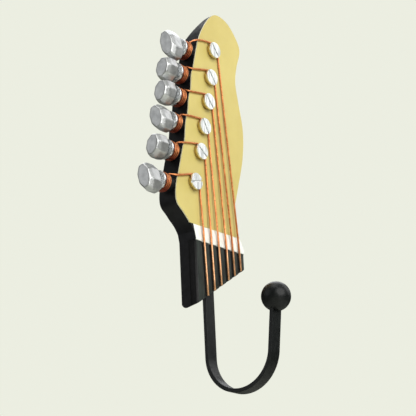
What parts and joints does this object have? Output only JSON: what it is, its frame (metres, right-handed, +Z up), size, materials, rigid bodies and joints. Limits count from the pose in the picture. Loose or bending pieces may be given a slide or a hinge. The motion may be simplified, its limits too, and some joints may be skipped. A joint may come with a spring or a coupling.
{
  "type": "wall hook",
  "caption": "Wall hook in the form of an electric guitar headstock: cream-faced black head with wire strings, turning tuner knobs and a U-shaped iron hook ending in a ball.",
  "frame": {"origin": "centre of the round part of the hanging keyhole, on the back face that rests on the wall", "axes": "+Z up along the headstock, +Y into the wall, -Y out of the wall, +X to the right seen from the front"},
  "size_m": [0.0825, 0.0547, 0.2174],
  "materials": {
    "black_body": "black painted cast resin, satin",
    "cream_face": "aged cream paint, satin",
    "white_nut": "white, satin",
    "dark_fretboard": "dark grey-green, grooved",
    "black_iron": "black satin paint on iron",
    "screw_steel": "plain steel",
    "plate_steel": "zinc plated steel",
    "post_metal": "polished, fine turning marks",
    "tuner_metal": "satin",
    "pin_steel": "plain steel",
    "knob_metal": "cast, satin",
    "copper_wire": "bare copper, lightly tarnished"
  },
  "bodies": {
    "hook": {"head_body": "black_body", "face_plate": "cream_face", "nut": "white_nut", "fretboard": "dark_fretboard", "hook_bar": "black_iron", "hook_ball": "black_iron", "hook_screws": "screw_steel", "hanger_plate": "plate_steel", "hanger_screws": "screw_steel", "post_1": "post_metal", "post_2": "post_metal", "post_3": "post_metal", "post_4": "post_metal", "post_5": "post_metal", "post_6": "post_metal", "bushing_1": "tuner_metal", "bushing_2": "tuner_metal", "bushing_3": "tuner_metal", "bushing_4": "tuner_metal", "bushing_5": "tuner_metal", "bushing_6": "tuner_metal", "string_1": "copper_wire", "string_2": "copper_wire", "string_3": "copper_wire", "string_4": "copper_wire", "string_5": "copper_wire", "string_6": "copper_wire"},
    "tuner_1": {"knob_pin_1": "pin_steel", "knob_1": "knob_metal"},
    "tuner_2": {"knob_pin_2": "pin_steel", "knob_2": "knob_metal"},
    "tuner_3": {"knob_pin_3": "pin_steel", "knob_3": "knob_metal"},
    "tuner_4": {"knob_pin_4": "pin_steel", "knob_4": "knob_metal"},
    "tuner_5": {"knob_pin_5": "pin_steel", "knob_5": "knob_metal"},
    "tuner_6": {"knob_pin_6": "pin_steel", "knob_6": "knob_metal"}
  },
  "joints": [
    {"name": "knob_1_turn", "type": "hinge", "parent": "hook", "child": "tuner_1", "pos_m": [-0.014, -0.0062, 0.0119], "axis": [-1, 0, 0], "range_deg": [-44, 16]},
    {"name": "knob_2_turn", "type": "hinge", "parent": "hook", "child": "tuner_2", "pos_m": [-0.0185, -0.0062, -0.0036], "axis": [-1, 0, 0], "range_deg": [-12, 48]},
    {"name": "knob_3_turn", "type": "hinge", "parent": "hook", "child": "tuner_3", "pos_m": [-0.0208, -0.0062, -0.0175], "axis": [-1, 0, 0], "range_deg": [-16, 44]},
    {"name": "knob_4_turn", "type": "hinge", "parent": "hook", "child": "tuner_4", "pos_m": [-0.0252, -0.0062, -0.0333], "axis": [-1, 0, 0], "range_deg": [-46, 14]},
    {"name": "knob_5_turn", "type": "hinge", "parent": "hook", "child": "tuner_5", "pos_m": [-0.0292, -0.0062, -0.0501], "axis": [-1, 0, 0], "range_deg": [-14, 46]},
    {"name": "knob_6_turn", "type": "hinge", "parent": "hook", "child": "tuner_6", "pos_m": [-0.0368, -0.0062, -0.0692], "axis": [-1, 0, 0], "range_deg": [-44, 16]}
  ]
}
